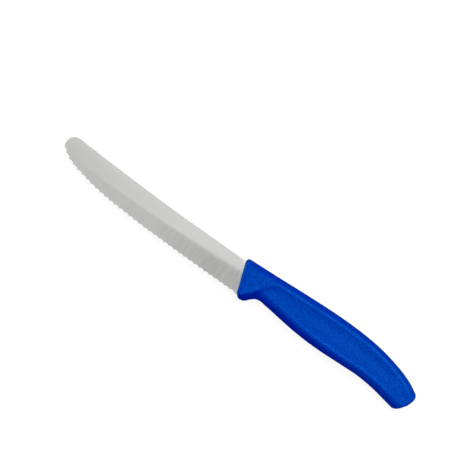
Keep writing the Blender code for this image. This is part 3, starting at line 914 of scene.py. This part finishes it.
def surface(name):
    """A new material with its Principled shader, its node tree and the object's own coordinates."""
    material = bpy.data.materials.new(name)
    material.use_nodes = True
    tree = material.node_tree
    place = add_node(tree, "ShaderNodeTexCoord").outputs["Object"]
    return material, tree.nodes["Principled BSDF"], tree, place


def stored(tree, name):
    """The numbers that were stored on the points under this name."""
    return add_node(tree, "ShaderNodeAttribute", attribute_name=name).outputs["Fac"]


def drawn_out_noise(tree, place, sizes, detail):
    """Noise whose grains have these sizes along X, Y and Z, in metres."""
    scaled = add_node(tree, "ShaderNodeMapping",
                      {"Vector": place, "Scale": tuple(1 / size for size in sizes)}).outputs[0]
    return add_node(tree, "ShaderNodeTexNoise", {"Vector": scaled, "Scale": 1.0, "Detail": detail,
                                                 "Roughness": NOISE_ROUGHNESS}).outputs[0]


def tint(tree, color, amount):
    """The colour times a plain number."""
    return add_node(tree, "ShaderNodeVectorMath", {0: color, 3: amount}, operation="SCALE").outputs[0]


def cover(obj, material, color, height, lift, strength):
    """Puts the colour and the surface's small lift into the material, and the material on the piece."""
    tree = material.node_tree
    shader = tree.nodes["Principled BSDF"]
    tree.links.new(color, shader.inputs["Base Color"])
    bump = add_node(tree, "ShaderNodeBump", {"Height": height, "Distance": lift, "Strength": strength})
    tree.links.new(bump.outputs[0], shader.inputs["Normal"])
    obj.data.materials.clear()
    obj.data.materials.append(material)
    print(obj.name, "is covered with", material.name)


print("helpers for the finishes are ready")

# %% [markdown]
# The steel is polished lengthwise above the grind line and ground across below it. Each finish is a
# noise drawn out in the direction of its scratches, which changes the colour a little and lifts the
# surface by a few thousandths of a millimetre. Painted shade darkens the flat steel towards the tip,
# and painted light makes the ground steel paler there. Painted light also brightens the steel near
# the edge, near the spine at the tip and most of all close to the handle.

# %% Steel
FLAT_STEEL = (0.500, 0.500, 0.491, 1.0)
FLAT_STEEL_SHADED_AT_TIP = (0.430, 0.430, 0.424, 1.0)
FLAT_SHADE_FADE = (-0.033, -0.108)
GROUND_STEEL = (0.340, 0.340, 0.332, 1.0)
GROUND_STEEL_LIT_AT_TIP = (0.418, 0.418, 0.411, 1.0)
GROUND_LIGHT_FADE = (-0.012, -0.058)
ALONG_LINES = (0.040, 0.0006, 0.0006)
ALONG_DETAIL = 3.0
ACROSS_LINES = (0.00048, 0.012, 0.012)
ACROSS_DETAIL = 0.5
LINE_RANGE = (0.2, 0.8)
FLAT_CONTRAST = 0.02
GROUND_CONTRAST = (0.085, 0.060)
PAINTED_LIGHT = {"near_edge": 1.05, "near_spine": 1.07, "near_handle": 1.6}
STEEL_ROUGHNESS = (0.27, 0.38)
LINE_LIFT = 0.000004
LINE_STRENGTH = 0.6

steel, shader, tree, place = surface("ground_steel")
ground = stored(tree, "ground")
along = add_node(tree, "ShaderNodeSeparateXYZ", {0: place}).outputs["X"]
# Painted shade and light along the blade: the flat steel darkens towards the tip, the ground steel
# lightens.
flat_shade_share = scaled_range(tree, along, *FLAT_SHADE_FADE, 0.0, 1.0)
ground_light_share = scaled_range(tree, along, *GROUND_LIGHT_FADE, 0.0, 1.0)
lines = mix_value(tree, ground, drawn_out_noise(tree, place, ALONG_LINES, ALONG_DETAIL),
                  drawn_out_noise(tree, place, ACROSS_LINES, ACROSS_DETAIL))
color = mix_color(tree, ground, mix_color(tree, flat_shade_share, FLAT_STEEL, FLAT_STEEL_SHADED_AT_TIP),
                  mix_color(tree, ground_light_share, GROUND_STEEL, GROUND_STEEL_LIT_AT_TIP))
contrast = mix_value(tree, ground, FLAT_CONTRAST, mix_value(tree, ground_light_share, *GROUND_CONTRAST))
darkest, lightest = (combine(tree, operation, 1.0, contrast) for operation in ("SUBTRACT", "ADD"))
color = tint(tree, color, scaled_range(tree, lines, *LINE_RANGE, darkest, lightest))
# Painted light: the steel is made brighter near the edge, near the spine at the tip and next to the
# handle.
for name, light in PAINTED_LIGHT.items():
    color = tint(tree, color, scaled_range(tree, stored(tree, name), 0.0, 1.0, 1.0, light))
tree.links.new(mix_value(tree, ground, *STEEL_ROUGHNESS), shader.inputs["Roughness"])
shader.inputs["Metallic"].default_value = 1.0
cover(blade, steel, color, lines, LINE_LIFT, LINE_STRENGTH)

# %% [markdown]
# The plastic is polypropylene, dyed through. The mould is spark-eroded, which leaves a fine even
# grain on the sides. A fine noise gives the grain. It is raised to a power, so that most of it is low,
# and the few peaks are painted glints, whiter and brighter than the blue. A slower noise gives the
# slight unevenness of the dye. Painted shade deepens the blue on the steep walls, and painted
# highlights make it paler along the rims, the middle of the grip and the front.

# %% Plastic
SIDE_BLUE = (0.0006, 0.060, 0.456, 1.0)
WALL_SHADE_BLUE = (0.0003, 0.016, 0.410, 1.0)
HIGHLIGHT_BLUE = (0.0020, 0.088, 0.540, 1.0)
GRAIN_SIZE = 0.0006
GRAIN_POWER = 3.0
GRAIN_LOW = (0.0, 0.68, 0.907, 1.0)
GRAIN_GLINT = (5.2, 2.45, 1.44, 1.0)
GRAIN_LIFT = 0.00003
GRAIN_STRENGTH = 0.5
DYE_PATCH_SIZE = 0.006
DYE_TINT = (0.985, 1.015)
PLASTIC_DETAIL = 2.0
NOISE_RANGE = (0.25, 0.75)
PLASTIC_ROUGHNESS = 0.6

plastic, shader, tree, place = surface("moulded_blue_plastic")
grain = drawn_out_noise(tree, place, (GRAIN_SIZE,) * 3, PLASTIC_DETAIL)
dye = drawn_out_noise(tree, place, (DYE_PATCH_SIZE,) * 3, PLASTIC_DETAIL)
# Painted shade: the wall share deepens the blue on steep walls.
color = mix_color(tree, stored(tree, "wall"), SIDE_BLUE, WALL_SHADE_BLUE)
# Painted highlight: paler blue along the rims, the middle of the grip and the front.
color = mix_color(tree, stored(tree, "painted_highlight"), color, HIGHLIGHT_BLUE)
glints = combine(tree, "POWER", scaled_range(tree, grain, *NOISE_RANGE, 0.0, 1.0), GRAIN_POWER)
color = add_node(tree, "ShaderNodeVectorMath",
                 {0: color, 1: mix_color(tree, glints, GRAIN_LOW, GRAIN_GLINT)},
                 operation="MULTIPLY").outputs[0]
color = tint(tree, color, scaled_range(tree, dye, *NOISE_RANGE, *DYE_TINT))
shader.inputs["Roughness"].default_value = PLASTIC_ROUGHNESS
shader.inputs["Specular IOR Level"].default_value = 0.0
cover(handle, plastic, color, grain, GRAIN_LIFT, GRAIN_STRENGTH)

# %% [markdown]
# Last, each piece is hung on the body that carries it, and the imported piece it stands for is hidden.
# The finer pieces may pass the imported ones by no more than a few tenths of a millimetre.

# %% Attach the pieces
for piece, node, slot in ((blade, "blade", "blade_steel"), (handle, "handle", "handle_plastic")):
    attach(piece, "root")
    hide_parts(node)
